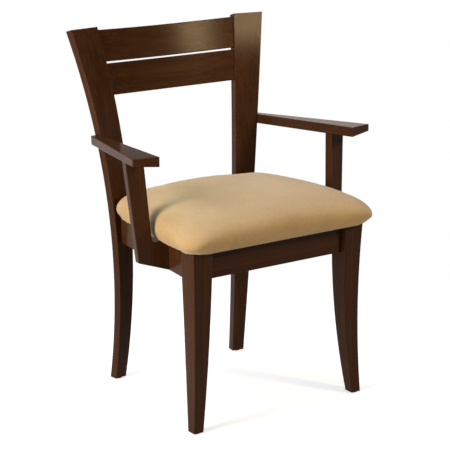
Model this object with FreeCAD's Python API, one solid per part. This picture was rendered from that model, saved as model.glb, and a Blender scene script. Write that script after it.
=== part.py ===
"""Dining armchair with an upholstered seat, in dark stained hardwood.

Millimetres, +Z up. The chair faces -Y and is symmetrical about X = 0. Left is -X, as seen by
someone who faces the chair. While it is built, Y = 0 is the front of the front feet. At the end
everything is moved so that the origin lies on the floor under the middle of the chair's box.
"""
import FreeCAD, Part
import math
import os

from FreeCAD import Placement, Rotation, Vector

# Overall
OVERALL_HEIGHT = 864.0          # floor to the front top edge of the back posts
EASED_EDGE = 1.2                # bevel on the edges of the arms, their supports and the slats
FIT_GAP = 0.1                   # between a shoulder and the curved face that it meets

# Front legs, sawn to the same curve on their front and their outer faces
FRONT_FEET_WIDTH = 483.0        # over the outer faces of the two feet
FRONT_FOOT_SIZE = 24.5          # side of the square foot
FRONT_LEG_SIZE = 51.0           # side of the square leg where the rails meet it
FRONT_LEG_TOP_INSET = 1.5       # the top stands this far inside the foot's outer faces
FRONT_LEG_HOLLOW = 6.0          # the outer faces curve in this far at half height

# Seat rails
RAIL_TOP = 421.0
RAIL_HEIGHT = 67.0
RAIL_THICKNESS = 19.0
SEAT_FRAME_DEPTH = 385.2        # front of the front feet to the nose of the rear legs
FRONT_RAIL_SETBACK = 14.0       # behind the front legs' front faces
SIDE_RAIL_SETBACK = 7.5         # inside the front legs' outer faces
SIDE_RAIL_ANGLE = 7.6           # degrees in plan, the seat is wider in front
REAR_RAIL_SETBACK = 1.0         # behind the inner front edge of the rear legs

# Rear legs, each sawn from one plank: a sweep seen from the side, a flare seen from the front
REAR_FEET_WIDTH = 386.0         # over the outer front edges of the two feet
REAR_LEG_TURN = 8.5             # degrees, the posts' front faces look inwards
REAR_LEG_THICKNESS = 21.0
REAR_NOSE_HEIGHT = 330.0        # where the sweep stands furthest forward
REAR_FOOT_KICK = 26.0           # foot behind the nose
POST_TOP_REACH = 76.0           # top behind the nose
REAR_FOOT_WIDTH = 31.2
REAR_WAIST_HEIGHT = 250.0       # where the inner edge is furthest in
REAR_WAIST_REACH = 38.0         # inner edge there, inside the foot's outer edge
POST_FLARE_HEIGHT = 450.0
POST_FLARE = 17.8               # outer edge there, outside the foot's outer edge
POST_TOP_FLARE = 75.8           # outer edge at the top
POST_TOP_WIDTH = 78.8

# Back slats
SLAT_HEIGHT = 75.5
SLAT_THICKNESS = 15.0
SLAT_GAP = 5.5                  # between the two slats
SLAT_BOW = 20.0                 # middle behind the ends
SLAT_SETBACK = 4.0              # behind the posts' front faces at the ends
CREST_DROP = 8.0                # top of the crest rail below the top of the posts
TENON_LENGTH = 14.0
TENON_SHOULDER = 4.0            # step from the slat's face to its tenon
TENON_END_SHOULDER = 12.0       # step from the slat's edge to its tenon
TENON_CLEARANCE = 0.2

# Arms
ARM_FRONT_HEIGHT = 630.0        # top of the arm at its front end
ARM_SLOPE = 2.4                 # degrees, down towards the back
ARM_THICKNESS = 23.0            # along the inner edge
ARM_OUTER_THICKNESS = 17.0      # at the outer front corner, thinned from below
ARM_FRONT_WIDTH = 63.0
ARM_REAR_WIDTH = 15.0           # beside the back post
ARM_END_TURN = 12.5             # degrees in plan, the outer front corner is further back
ARM_FRONT_REACH = 83.7          # inner front corner behind the front feet's front
ARM_FRONT_SPAN = 544.6          # between the two inner front corners

# Arm supports, J-shaped brackets on the outer faces of the side rails
SUPPORT_TURN = 11.5             # degrees in plan
SUPPORT_LEAN = 4.3              # degrees, the top leans back
SUPPORT_THICKNESS = 21.0
SUPPORT_REACH_BACK = 127.0      # lower front edge, at the rail, behind the front feet's front
SUPPORT_FOOT_LENGTH = 73.0      # out from the rail to the lower outer corner
SUPPORT_FOOT_RISE = 23.0        # the lower outer corner stands above the rail's lower edge
SUPPORT_NECK = 38.5             # inner edge out from the rail, just above the foot
SUPPORT_TOP_INNER = 53.3        # inner edge out from the rail, at the top
SUPPORT_TOP_OUTER = 97.5        # outer edge out from the rail, at the top
SUPPORT_CURVE = 14.0            # radius in the crook of the bracket
SUPPORT_STEP = 3.0              # top of the foot below the rail's top

# Seat
COVER_THICKNESS = 1.5
PANEL_THICKNESS = 12.0
PANEL_INSET = 4.0               # panel inside the lower outline of the cushion
COVER_TURN_UNDER = 35.0         # width of cloth that is turned under the panel
DUST_COVER_THICKNESS = 1.2
DUST_COVER_GAP = 1.0
SEAT_FRONT_WIDTH = 530.0        # over the cushion's fullest line
SEAT_REAR_WIDTH = 410.0
SEAT_OVERHANG = 21.0            # fullest line in front of the front feet
SEAT_BACK_GAP = 1.2             # between the cushion and the rear legs
SEAT_HEIGHT = 496.0             # top of the crown
SEAT_DRAW_IN = 15.0             # sides drawn in at the lower edge
SEAT_CORNER_RADIUS = 32.0
SEAT_FULL_RISE = 20.0           # fullest line above the rails
TONGUE_GAP = 3.0                # cushion's rear tongue to the inner edges of the posts
TONGUE_DROP = 22.0              # tongue's top below the crown
TONGUE_ROUNDING = 9.0

# Corner blocks
BLOCK_HEIGHT = 28.0
BLOCK_LAND = 54.0               # length glued to each rail
BLOCK_LEG_GAP = 2.8             # kept clear of the front legs' inner corners, along each rail
BLOCK_POST_GAP = 10.0           # kept clear of the rear legs along the rear rail
BLOCK_REAR_GAP = 20.0           # and along the side rail

# Dowels, screws and glides
HOLE_CLEARANCE = 0.15           # all round every dowel and screw
HOLE_END_GAP = 1.0              # beyond the ends of every dowel and screw
RAIL_DOWEL_THICKNESS = 8.0      # the dowels are flat, one in each joint
RAIL_DOWEL_EDGE = 8.0           # below the rail's top in the side rails, above its bottom in the others
RAIL_DOWEL_PART = 3.0           # height between the two dowels that meet in a leg
RAIL_DOWEL_LENGTH = 36.0
FRONT_DOWEL_REACH = 18.0        # into the front legs
REAR_DOWEL_REACH = 12.0         # into the rear legs
ARM_DOWEL_THICKNESS = 7.0
ARM_DOWEL_LENGTH = 24.0
ARM_POST_DOWEL_WIDTH = 14.0
ARM_POST_REACH = 8.0            # into the arm beside the post
ARM_SUPPORT_DOWEL_WIDTH = 28.0
ARM_SUPPORT_REACH = 11.0        # into the arm over the support
SCREW_DIAMETER = 4.5
SCREW_HEAD_DIAMETER = 9.0
SCREW_HEAD_CLEARANCE = 0.3      # all round a head in its counterbore
SCREW_HEAD_HEIGHT = 3.0
BLOCK_SCREW_BITE = 13.0         # into the rail
BLOCK_SCREW_COVER = 14.0        # wood of the block under the head
BLOCK_SCREW_STAGGER = 6.0       # above and below the block's middle
SEAT_SCREW_BITE = 9.0           # into the seat panel
SUPPORT_SCREW_BITE = 30.0       # into the arm support
SUPPORT_SCREW_EDGE = 20.0       # from the rail's lower and upper edges
GLIDE_DIAMETER = 18.0
GLIDE_THICKNESS = 2.5
GLIDE_PIN_DIAMETER = 2.5
GLIDE_PIN_LENGTH = 12.0

# Worked out from the sizes above
FAR = 1200.0                    # longer than any piece
RAIL_BOTTOM = RAIL_TOP - RAIL_HEIGHT
RAIL_MIDDLE = RAIL_TOP - RAIL_HEIGHT / 2
RAIL_DOWEL_WIDTH = (RAIL_HEIGHT - RAIL_DOWEL_PART) / 2 - RAIL_DOWEL_EDGE
SEAT_RISE = SEAT_HEIGHT - RAIL_TOP
# Rise above the rails and inset from the fullest line of each level section of the cushion
SEAT_SECTIONS = (
    (0.0, SEAT_DRAW_IN), (0.4 * SEAT_FULL_RISE, 0.35 * SEAT_DRAW_IN), (SEAT_FULL_RISE, 0.0),
    (0.52 * SEAT_RISE, 2.0), (0.7 * SEAT_RISE, 9.0), (0.82 * SEAT_RISE, 21.0),
    (0.91 * SEAT_RISE, 48.0), (0.97 * SEAT_RISE, 95.0), (SEAT_RISE, 156.0),
)
UP = Vector(0, 0, 1)
ACROSS = Vector(1, 0, 0)
BACK = Vector(0, 1, 0)


def level(angle):
    """Unit vector in plan, turned from +X towards +Y by an angle in degrees."""
    return Vector(math.cos(math.radians(angle)), math.sin(math.radians(angle)), 0)


class SawnEdge:
    """One long edge sawn as an arc through three (offset, height) points."""

    def __init__(self, low, middle, high):
        points = [Vector(offset, 0, height) for offset, height in (low, middle, high)]
        circle = Part.Arc(*points).toShape().Curve
        self.centre = circle.Center
        self.radius = circle.Radius
        self.side = math.copysign(1.0, middle[0] - circle.Center.x)

    def at(self, height):
        """Offset of the edge at a height."""
        rise = height - self.centre.z
        return self.centre.x + self.side * math.sqrt(self.radius ** 2 - rise ** 2)

    def slope(self, height):
        """Change of offset per unit of height."""
        return -(height - self.centre.z) / (self.at(height) - self.centre.x)

    def behind(self, thickness):
        """The edge on the other side of a plank of constant thickness."""
        twin = SawnEdge.__new__(SawnEdge)
        twin.centre = self.centre
        twin.side = self.side
        twin.radius = self.radius + self.side * thickness
        return twin

    def curve(self, low, high, place):
        """The arc between two heights, placed by a function of (offset, height)."""
        heights = (low, (low + high) / 2, high)
        return Part.Arc(*(place(self.at(z), z) for z in heights)).toShape()


def sawn_slab(one, other, low, high, place, sweep):
    """Slab between two sawn edges with level ends."""
    first = one.curve(low, high, place)
    second = other.curve(low, high, place)
    ends = [Part.makeLine(place(one.at(z), z), place(other.at(z), z)) for z in (low, high)]
    outline = Part.Wire(Part.__sortEdges__([first, second] + ends))
    return Part.Face(outline).extrude(sweep)


def sawn_twice(front_edges, side_edges, low, high):
    """Leg sawn to one outline seen from the front and to another seen from the side."""
    from_front = sawn_slab(*front_edges, low, high, lambda x, z: Vector(x, -FAR, z), BACK * (2 * FAR))
    from_side = sawn_slab(*side_edges, low, high, lambda y, z: Vector(-FAR, y, z), ACROSS * (2 * FAR))
    return from_front.common(from_side)


def beyond(point, normal):
    """Large block on the side of a plane that its normal points to."""
    block = Part.makeBox(2 * FAR, 2 * FAR, 2 * FAR, Vector(-FAR, -FAR, 0))
    block.Placement = Placement(point, Rotation(UP, normal))
    return block


def eased(solid, chosen):
    """Solid with its chosen edges broken by a narrow bevel."""
    return solid.makeChamfer(EASED_EDGE, [edge for edge in solid.Edges if chosen(edge)])


def prism(points, sweep):
    """Straight-sided solid from a plan or a face outline."""
    return Part.Face(Part.makePolygon(points + points[:1])).extrude(sweep)


def rod(start, direction, diameter, length):
    return Part.makeCylinder(diameter / 2, length, start, direction)


def mirrored(shape):
    return shape.mirror(Vector(0, 0, 0), ACROSS)


def both_sides(shapes):
    return list(shapes) + [mirrored(shape) for shape in shapes]


def bar(start, axis, broad, width, thickness, length):
    """Flat bar along an axis, its width along the broad direction."""
    side = broad * (width / 2)
    face = axis.cross(broad) * (thickness / 2)
    return prism([start - side - face, start + side - face, start + side + face, start - side + face],
                 axis * length)


class Dowel:
    """Flat dowel across a joint: its own solid and the mortise that is cut for it."""

    def __init__(self, joint, axis, broad, width, thickness, length, reach):
        axis = Vector(axis).normalize()
        broad = (broad - axis * broad.dot(axis)).normalize()
        start = joint + axis * (reach - length)
        wider = 2 * HOLE_CLEARANCE
        self.solid = bar(start, axis, broad, width, thickness, length)
        self.hole = bar(start - axis * HOLE_END_GAP, axis, broad, width + wider, thickness + wider,
                        length + 2 * HOLE_END_GAP)


class Screw:
    """Pan-head screw, with its head outside the seat point and its shank along the axis."""

    def __init__(self, seat, axis, length, counterbore=0.0):
        axis = Vector(axis).normalize()
        head = rod(seat - axis * SCREW_HEAD_HEIGHT, axis, SCREW_HEAD_DIAMETER, SCREW_HEAD_HEIGHT)
        self.solid = head.fuse(rod(seat, axis, SCREW_DIAMETER, length)).removeSplitter()
        bored = SCREW_DIAMETER + 2 * HOLE_CLEARANCE
        self.hole = rod(seat - axis * HOLE_END_GAP, axis, bored, length + 2 * HOLE_END_GAP)
        if counterbore:
            wide = SCREW_HEAD_DIAMETER + 2 * SCREW_HEAD_CLEARANCE
            self.hole = self.hole.fuse(rod(seat - axis * counterbore, axis, wide, counterbore))


# Front legs
FRONT_FOOT_REACH = FRONT_FEET_WIDTH / 2
FRONT_LEG_MIDDLE = RAIL_TOP / 2


def leg_faces(outside, sign):
    """Outer and inner edge of a sabre leg: outside is the foot's outer face, sign points out."""
    inset = (0.0, FRONT_LEG_TOP_INSET / 2 + FRONT_LEG_HOLLOW, FRONT_LEG_TOP_INSET)
    outer = [(outside - sign * step, z) for step, z in zip(inset, (0.0, FRONT_LEG_MIDDLE, RAIL_TOP))]
    top = outside - sign * (FRONT_LEG_TOP_INSET + FRONT_LEG_SIZE)
    foot = outside - sign * FRONT_FOOT_SIZE
    # The inner edge is upright at the middle of the rail, and equally far in above and below it.
    grow = (foot - top) * ((RAIL_TOP - RAIL_MIDDLE) / RAIL_MIDDLE) ** 2
    inner = [(foot, 0.0), (top, RAIL_MIDDLE), (top + grow, RAIL_TOP)]
    return SawnEdge(*outer), SawnEdge(*inner)


FRONT_OUTER, FRONT_INNER = leg_faces(FRONT_FOOT_REACH, 1)
FRONT_FACE, FRONT_BACK = leg_faces(0.0, -1)
FRONT_LEG_INSIDE = FRONT_INNER.at(RAIL_MIDDLE)      # X of the face that the front rail meets
FRONT_LEG_REAR = FRONT_BACK.at(RAIL_MIDDLE)         # Y of the face that the side rail meets


def front_leg():
    return sawn_twice((FRONT_OUTER, FRONT_INNER), (FRONT_FACE, FRONT_BACK), GLIDE_THICKNESS, RAIL_TOP)


# Rear legs, in their own frame: x outwards from the foot's outer edge, y back from the nose
POST_FRONT = SawnEdge((REAR_FOOT_KICK, 0), (0, REAR_NOSE_HEIGHT), (POST_TOP_REACH, OVERALL_HEIGHT))
POST_BACK = POST_FRONT.behind(REAR_LEG_THICKNESS)
POST_OUTER = SawnEdge((0, 0), (POST_FLARE, POST_FLARE_HEIGHT), (POST_TOP_FLARE, OVERALL_HEIGHT))
POST_INNER = SawnEdge((-REAR_FOOT_WIDTH, 0), (-REAR_WAIST_REACH, REAR_WAIST_HEIGHT),
                      (POST_TOP_FLARE - POST_TOP_WIDTH, OVERALL_HEIGHT))
TURN = Rotation(UP, -REAR_LEG_TURN)
NOSE_X = REAR_FEET_WIDTH / 2 - REAR_FOOT_KICK * math.sin(math.radians(REAR_LEG_TURN))
POST_PLACE = Placement(Vector(NOSE_X, SEAT_FRAME_DEPTH, 0), TURN)


def on_post(edge_x, edge_y, height):
    """Point of the chair at an x edge and a y edge of the rear leg."""
    return POST_PLACE.multVec(Vector(edge_x.at(height), edge_y.at(height), height))


def post_plane(height, face):
    """Plane that touches a face of the rear leg at a height, as a point and its outward normal."""
    point = Vector(POST_INNER.at(height), POST_FRONT.at(height), height)
    normal = {"front": Vector(0, -1, POST_FRONT.slope(height)),
              "back": Vector(0, 1, -POST_BACK.slope(height)),
              "inner": Vector(-1, 0, POST_INNER.slope(height)),
              "outer": Vector(1, 0, -POST_OUTER.slope(height))}[face]
    if face == "outer":
        point.x = POST_OUTER.at(height)
    if face == "back":
        point.y = POST_BACK.at(height)
    return POST_PLACE.multVec(point), TURN.multVec(normal).normalize()


def rear_leg():
    over = OVERALL_HEIGHT + REAR_LEG_THICKNESS
    leg = sawn_twice((POST_OUTER, POST_INNER), (POST_FRONT, POST_BACK), GLIDE_THICKNESS, over)
    top = Vector(0, POST_FRONT.at(OVERALL_HEIGHT), OVERALL_HEIGHT)
    leg = leg.cut(beyond(top, Vector(0, POST_FRONT.slope(OVERALL_HEIGHT), 1)))
    leg.Placement = POST_PLACE
    return leg


# Seat rails
FRONT_RAIL_FACE = FRONT_FACE.at(RAIL_MIDDLE) + FRONT_RAIL_SETBACK
SIDE_ALONG = level(90 + SIDE_RAIL_ANGLE)            # from the front leg to the rear leg
SIDE_OUT = level(SIDE_RAIL_ANGLE)                   # outwards, square to the side rail
SIDE_START = Vector(FRONT_OUTER.at(RAIL_MIDDLE) - SIDE_RAIL_SETBACK, FRONT_LEG_REAR, RAIL_BOTTOM)
POST_AT_RAIL, POST_FORWARD = post_plane(RAIL_MIDDLE, "front")
POST_INSIDE, POST_INWARD = post_plane(RAIL_MIDDLE, "inner")
REAR_RAIL_FACE = on_post(POST_INNER, POST_FRONT, RAIL_MIDDLE).y + REAR_RAIL_SETBACK


def along_side(distance, inwards, height):
    """Point at a distance along the side rail's outer face, inwards from it, at a height."""
    point = SIDE_START + SIDE_ALONG * distance - SIDE_OUT * inwards
    return Vector(point.x, point.y, height)


def meet(start, direction, point, normal):
    """Distance along a line from its start to a plane."""
    return (point - start).dot(normal) / direction.dot(normal)


SIDE_AXIS = along_side(0, RAIL_THICKNESS / 2, RAIL_MIDDLE)
SIDE_LENGTH = meet(SIDE_AXIS, SIDE_ALONG, POST_AT_RAIL, POST_FORWARD)


def front_rail():
    reach = FRONT_LEG_INSIDE - FIT_GAP
    corner = Vector(-reach, FRONT_RAIL_FACE, RAIL_BOTTOM)
    return Part.makeBox(2 * reach, RAIL_THICKNESS, RAIL_HEIGHT, corner)


def side_rail():
    ends = [along_side(s, depth, RAIL_BOTTOM) for s, depth in
            ((-FAR / 4, 0), (FAR / 2, 0), (FAR / 2, RAIL_THICKNESS), (-FAR / 4, RAIL_THICKNESS))]
    rail = prism(ends, UP * RAIL_HEIGHT)
    rail = rail.cut(beyond(Vector(0, FRONT_LEG_REAR + FIT_GAP, 0), -BACK))
    return rail.cut(beyond(POST_AT_RAIL + POST_FORWARD * FIT_GAP, -POST_FORWARD))


def rear_rail():
    corner = Vector(-FAR / 4, REAR_RAIL_FACE, RAIL_BOTTOM)
    rail = Part.makeBox(FAR / 2, RAIL_THICKNESS, RAIL_HEIGHT, corner)
    shoulder = beyond(POST_INSIDE + POST_INWARD * FIT_GAP, -POST_INWARD)
    return rail.cut(shoulder).cut(mirrored(shoulder))


def rail_dowels():
    """A dowel at each end of each rail, on the right-hand side of the chair.

    The side rails' dowels lie above the others, so that two of them never meet inside a leg.
    """
    rear_start = Vector(0, REAR_RAIL_FACE + RAIL_THICKNESS / 2, RAIL_MIDDLE)
    rear_end = rear_start + ACROSS * meet(rear_start, ACROSS, POST_INSIDE, POST_INWARD)
    front_end = Vector(FRONT_LEG_INSIDE, FRONT_RAIL_FACE + RAIL_THICKNESS / 2, RAIL_MIDDLE)
    joints = ((front_end, ACROSS, FRONT_DOWEL_REACH, -1),
              (SIDE_AXIS, -SIDE_ALONG, FRONT_DOWEL_REACH, 1),
              (SIDE_AXIS + SIDE_ALONG * SIDE_LENGTH, SIDE_ALONG, REAR_DOWEL_REACH, 1),
              (rear_end, ACROSS, REAR_DOWEL_REACH, -1))
    lift = UP * ((RAIL_DOWEL_WIDTH + RAIL_DOWEL_PART) / 2)
    return [Dowel(joint + lift * side, axis, UP, RAIL_DOWEL_WIDTH, RAIL_DOWEL_THICKNESS,
                  RAIL_DOWEL_LENGTH, reach)
            for joint, axis, reach, side in joints]


# Back slats
class Slat:
    """Bowed board between the posts, tilted with the sweep of the posts at its height."""

    def __init__(self, middle_height):
        self.height = middle_height
        corner = on_post(POST_INNER, POST_FRONT, middle_height)
        self.half = corner.x
        self.end = corner + TURN.multVec(BACK) * SLAT_SETBACK
        self.tilt = math.degrees(math.atan(POST_FRONT.slope(middle_height)))
        self.radius = (self.half ** 2 + SLAT_BOW ** 2) / (2 * SLAT_BOW)

    def board(self, reach, inset, edge_inset):
        """Board out to a reach in X, thinner by inset on each face and lower by edge_inset."""
        centre_y = self.end.y + SLAT_BOW - self.radius
        low = self.height - SLAT_HEIGHT / 2 + edge_inset
        high = self.height + SLAT_HEIGHT / 2 - edge_inset

        def arc(radius):
            ends = math.sqrt(radius ** 2 - reach ** 2)
            points = [Vector(-reach, centre_y + ends, low), Vector(0, centre_y + radius, low),
                      Vector(reach, centre_y + ends, low)]
            return points, Part.Arc(*points).toShape()

        front, front_arc = arc(self.radius + inset)
        back, back_arc = arc(self.radius + SLAT_THICKNESS - inset)
        sides = [Part.makeLine(front[i], back[i]) for i in (0, 2)]
        outline = Part.Wire(Part.__sortEdges__([front_arc, back_arc] + sides))
        return Part.Face(outline).extrude(UP * (high - low))

    def tilted(self, board):
        board.rotate(Vector(0, self.end.y, self.height), ACROSS, -self.tilt)
        return board

    def solid(self):
        body = self.board(self.half + SLAT_HEIGHT, 0.0, 0.0)
        body = self.tilted(eased(body, lambda edge: edge.Length > self.half))
        point, inward = post_plane(self.height, "inner")
        shoulder = beyond(point + inward * FIT_GAP, -inward)
        body = body.cut(shoulder).cut(mirrored(shoulder))
        return body.fuse(self.tenons(0.0)).removeSplitter()

    def tenons(self, clearance):
        """Both tenons, running through the body, or the mortises when there is a clearance."""
        reach = self.half + TENON_LENGTH + 2 * clearance
        inset = TENON_SHOULDER - clearance
        return self.tilted(self.board(reach, inset, TENON_END_SHOULDER - clearance))


CREST_TILT = math.atan(POST_FRONT.slope(OVERALL_HEIGHT - CREST_DROP - SLAT_HEIGHT / 2))
CREST_MIDDLE = OVERALL_HEIGHT - (CREST_DROP + SLAT_HEIGHT / 2) * math.cos(CREST_TILT)
LOWER_MIDDLE = CREST_MIDDLE - (SLAT_HEIGHT + SLAT_GAP) * math.cos(CREST_TILT)
CREST = Slat(CREST_MIDDLE)
LOWER_SLAT = Slat(LOWER_MIDDLE)


# Arms
ARM_FRONT_CORNER = Vector(ARM_FRONT_SPAN / 2, ARM_FRONT_REACH, ARM_FRONT_HEIGHT)
ARM_OUTER_CORNER = ARM_FRONT_CORNER + level(ARM_END_TURN) * ARM_FRONT_WIDTH
ARM_FALL = math.tan(math.radians(ARM_SLOPE))


def arm_top(y):
    return ARM_FRONT_HEIGHT - (y - ARM_FRONT_REACH) * ARM_FALL


ARM_JOINT_Y = SEAT_FRAME_DEPTH + REAR_LEG_THICKNESS     # near the arm's joint with the post
ARM_JOINT_HEIGHT = arm_top(ARM_JOINT_Y) - ARM_THICKNESS / 2
POST_OUTSIDE, POST_OUTWARD = post_plane(ARM_JOINT_HEIGHT, "outer")
POST_REAR, POST_BACKWARD = post_plane(ARM_JOINT_HEIGHT, "back")
ARM_POST_EDGE = on_post(POST_OUTER, POST_FRONT, ARM_JOINT_HEIGHT)
ARM_REAR_EDGE = on_post(POST_OUTER, POST_BACK, ARM_JOINT_HEIGHT) + ACROSS * ARM_REAR_WIDTH
ARM_TOP_NORMAL = Vector(0, ARM_FALL, 1).normalize()


def arm_underside():
    """Plane of the arm's underside, as a point and its downward normal."""
    inner_front = ARM_FRONT_CORNER - UP * ARM_THICKNESS
    outer_front = Vector(ARM_OUTER_CORNER.x, ARM_OUTER_CORNER.y,
                         arm_top(ARM_OUTER_CORNER.y) - ARM_OUTER_THICKNESS)
    rear = Vector(ARM_POST_EDGE.x, ARM_POST_EDGE.y, arm_top(ARM_POST_EDGE.y) - ARM_THICKNESS)
    normal = (outer_front - inner_front).cross(rear - inner_front).normalize()
    return inner_front, -normal if normal.z > 0 else normal


ARM_UNDER_POINT, ARM_UNDER_NORMAL = arm_underside()


def arm():
    inner_line = ARM_POST_EDGE - ARM_FRONT_CORNER
    outer_line = ARM_REAR_EDGE - ARM_OUTER_CORNER
    past = 1.0 + ARM_FRONT_WIDTH / inner_line.Length
    plan = [ARM_FRONT_CORNER, ARM_OUTER_CORNER, ARM_OUTER_CORNER + outer_line * past,
            ARM_FRONT_CORNER + inner_line * past]
    base = ARM_FRONT_HEIGHT - FAR / 4
    blank = prism([Vector(point.x, point.y, base) for point in plan], UP * (FAR / 2))
    blank = blank.cut(beyond(ARM_FRONT_CORNER, ARM_TOP_NORMAL))
    blank = blank.cut(beyond(ARM_UNDER_POINT, ARM_UNDER_NORMAL))
    blank = blank.cut(beyond(POST_REAR, POST_BACKWARD))
    blank = eased(blank, lambda edge: True)
    return blank.cut(beyond(POST_OUTSIDE + POST_OUTWARD * FIT_GAP, -POST_OUTWARD))


# Arm supports, in their own frame: x out from the rail, y back, z up the leaning face
SUPPORT_FOOT = along_side(0, 0, RAIL_BOTTOM)
SUPPORT_FOOT = SUPPORT_FOOT + SIDE_ALONG * meet(
    SUPPORT_FOOT, SIDE_ALONG, Vector(0, SUPPORT_REACH_BACK, 0), BACK)
SUPPORT_PLACE = Placement(SUPPORT_FOOT, Rotation(UP, SUPPORT_TURN).multiply(
    Rotation(ACROSS, -SUPPORT_LEAN)))
SUPPORT_TALL = ARM_FRONT_HEIGHT - RAIL_BOTTOM


def arm_support():
    foot_top = RAIL_HEIGHT - SUPPORT_STEP
    into_rail = -RAIL_THICKNESS
    slope = SUPPORT_FOOT_RISE / SUPPORT_FOOT_LENGTH
    inner = Vector(SUPPORT_TOP_INNER - SUPPORT_NECK, 0, SUPPORT_TALL - foot_top).normalize()
    crook = Vector(SUPPORT_NECK, 0, foot_top)
    # The crook is an arc that leaves the foot's level top and runs into the sloping inner edge.
    half_turn = math.acos(inner.x) / 2
    cut_back = SUPPORT_CURVE * math.tan(half_turn)
    bisector = (inner - ACROSS).normalize()
    hub = crook + bisector * (SUPPORT_CURVE / math.cos(half_turn))
    arc = Part.Arc(crook - ACROSS * cut_back, hub - bisector * SUPPORT_CURVE, crook + inner * cut_back)
    line = [Vector(SUPPORT_TOP_INNER, 0, SUPPORT_TALL), Vector(SUPPORT_TOP_OUTER, 0, SUPPORT_TALL),
            Vector(SUPPORT_FOOT_LENGTH, 0, SUPPORT_FOOT_RISE), Vector(into_rail, 0, into_rail * slope),
            Vector(into_rail, 0, foot_top)]
    edges = [Part.makePolygon(line), arc.toShape(),
             Part.makeLine(line[-1], crook - ACROSS * cut_back),
             Part.makeLine(crook + inner * cut_back, line[0])]
    edges = [edge for shape in edges for edge in shape.Edges]
    outline = Part.Wire(Part.__sortEdges__(edges))
    blank = Part.Face(outline).extrude(BACK * SUPPORT_THICKNESS)
    blank = eased(blank, lambda edge: True)
    blank.Placement = SUPPORT_PLACE
    blank = blank.cut(beyond(ARM_UNDER_POINT + ARM_UNDER_NORMAL * FIT_GAP, -ARM_UNDER_NORMAL))
    return blank.cut(beyond(along_side(0, 0, 0) + SIDE_OUT * FIT_GAP, -SIDE_OUT))


def arm_dowels():
    """Dowels from the arm into the post and down into the support, on the right-hand side."""
    at_post = POST_PLACE.multVec(Vector(
        POST_OUTER.at(ARM_JOINT_HEIGHT),
        POST_FRONT.at(ARM_JOINT_HEIGHT) + REAR_LEG_THICKNESS / 2, ARM_JOINT_HEIGHT))
    rise = SUPPORT_PLACE.Rotation.multVec(UP)
    foot = SUPPORT_PLACE.multVec(Vector(
        (SUPPORT_TOP_INNER + SUPPORT_TOP_OUTER) / 2, SUPPORT_THICKNESS / 2, 0))
    on_support = foot + rise * meet(foot, rise, ARM_UNDER_POINT, ARM_UNDER_NORMAL)
    outwards = SUPPORT_PLACE.Rotation.multVec(ACROSS)
    return [Dowel(at_post, POST_OUTWARD, TURN.multVec(BACK), ARM_POST_DOWEL_WIDTH,
                  ARM_DOWEL_THICKNESS, ARM_DOWEL_LENGTH, ARM_POST_REACH),
            Dowel(on_support, -ARM_UNDER_NORMAL, outwards, ARM_SUPPORT_DOWEL_WIDTH,
                  ARM_DOWEL_THICKNESS, ARM_DOWEL_LENGTH, ARM_SUPPORT_REACH)]


def arm_support_screws():
    """Two screws through the side rail into the support's foot, on the right-hand side."""
    screws = []
    foot = SUPPORT_PLACE.multVec(Vector(0, SUPPORT_THICKNESS / 2, 0))
    along = (foot - SIDE_START).dot(SIDE_ALONG)
    for height in (RAIL_BOTTOM + SUPPORT_SCREW_EDGE, RAIL_TOP - SUPPORT_SCREW_EDGE):
        seat = along_side(along, RAIL_THICKNESS, height)
        screws.append(Screw(seat, SIDE_OUT, RAIL_THICKNESS + SUPPORT_SCREW_BITE, BLOCK_LAND))
    return screws


# Corner blocks
class CornerBlock:
    """Block glued and screwed into a corner of the seat frame, under the seat panel."""

    def __init__(self, cross_near, cross_inward, side_near, side_direction, cross_normal):
        low = RAIL_TOP - BLOCK_HEIGHT
        cross_far = cross_near + cross_inward * BLOCK_LAND
        side_far = side_near + side_direction * BLOCK_LAND
        plan = [Vector(p.x, p.y, low) for p in (cross_far, cross_near, side_near, side_far)]
        self.solid = prism(plan, UP * BLOCK_HEIGHT)
        middle = low + BLOCK_HEIGHT / 2
        self.screws = []
        for near, far, normal, lift in ((cross_near, cross_far, cross_normal, 1),
                                        (side_near, side_far, SIDE_OUT, -1)):
            land = (near + far) * 0.5
            seat = Vector(land.x, land.y, middle + lift * BLOCK_SCREW_STAGGER)
            self.screws.append(Screw(seat - normal * BLOCK_SCREW_COVER, normal,
                                     BLOCK_SCREW_COVER + BLOCK_SCREW_BITE, BLOCK_LAND))
        centre = self.solid.CenterOfMass
        length = BLOCK_HEIGHT + COVER_THICKNESS + SEAT_SCREW_BITE
        self.seat_screw = Screw(Vector(centre.x, centre.y, low), UP, length)


def corner_blocks():
    """Front and rear block on the right-hand side."""
    front_back = FRONT_RAIL_FACE + RAIL_THICKNESS
    # The leg's inner corner stands out behind the front rail and inside the side rail.
    past_front = FRONT_LEG_REAR - front_back + BLOCK_LEG_GAP
    past_side = along_side(0, RAIL_THICKNESS, 0).x - FRONT_LEG_INSIDE + BLOCK_LEG_GAP
    front = CornerBlock(Vector(FRONT_LEG_INSIDE - past_front, front_back, 0), -ACROSS,
                        along_side(past_side, RAIL_THICKNESS, 0), SIDE_ALONG, -BACK)
    inside = on_post(POST_INNER, POST_FRONT, RAIL_MIDDLE).x
    rear = CornerBlock(Vector(inside - BLOCK_POST_GAP, REAR_RAIL_FACE, 0), -ACROSS,
                       along_side(SIDE_LENGTH - BLOCK_REAR_GAP, RAIL_THICKNESS, 0), -SIDE_ALONG, BACK)
    return front, rear


# Seat
SEAT_BACK = on_post(POST_OUTER, POST_FRONT, RAIL_TOP + SEAT_FULL_RISE).y - SEAT_BACK_GAP
TONGUE_HALF = min(on_post(POST_INNER, POST_FRONT, z).x for z in (RAIL_TOP, SEAT_HEIGHT)) - TONGUE_GAP
TONGUE_BACK = REAR_RAIL_FACE + RAIL_THICKNESS
TONGUE_START = SEAT_BACK - 2 * SEAT_CORNER_RADIUS       # well inside the cushion


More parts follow.
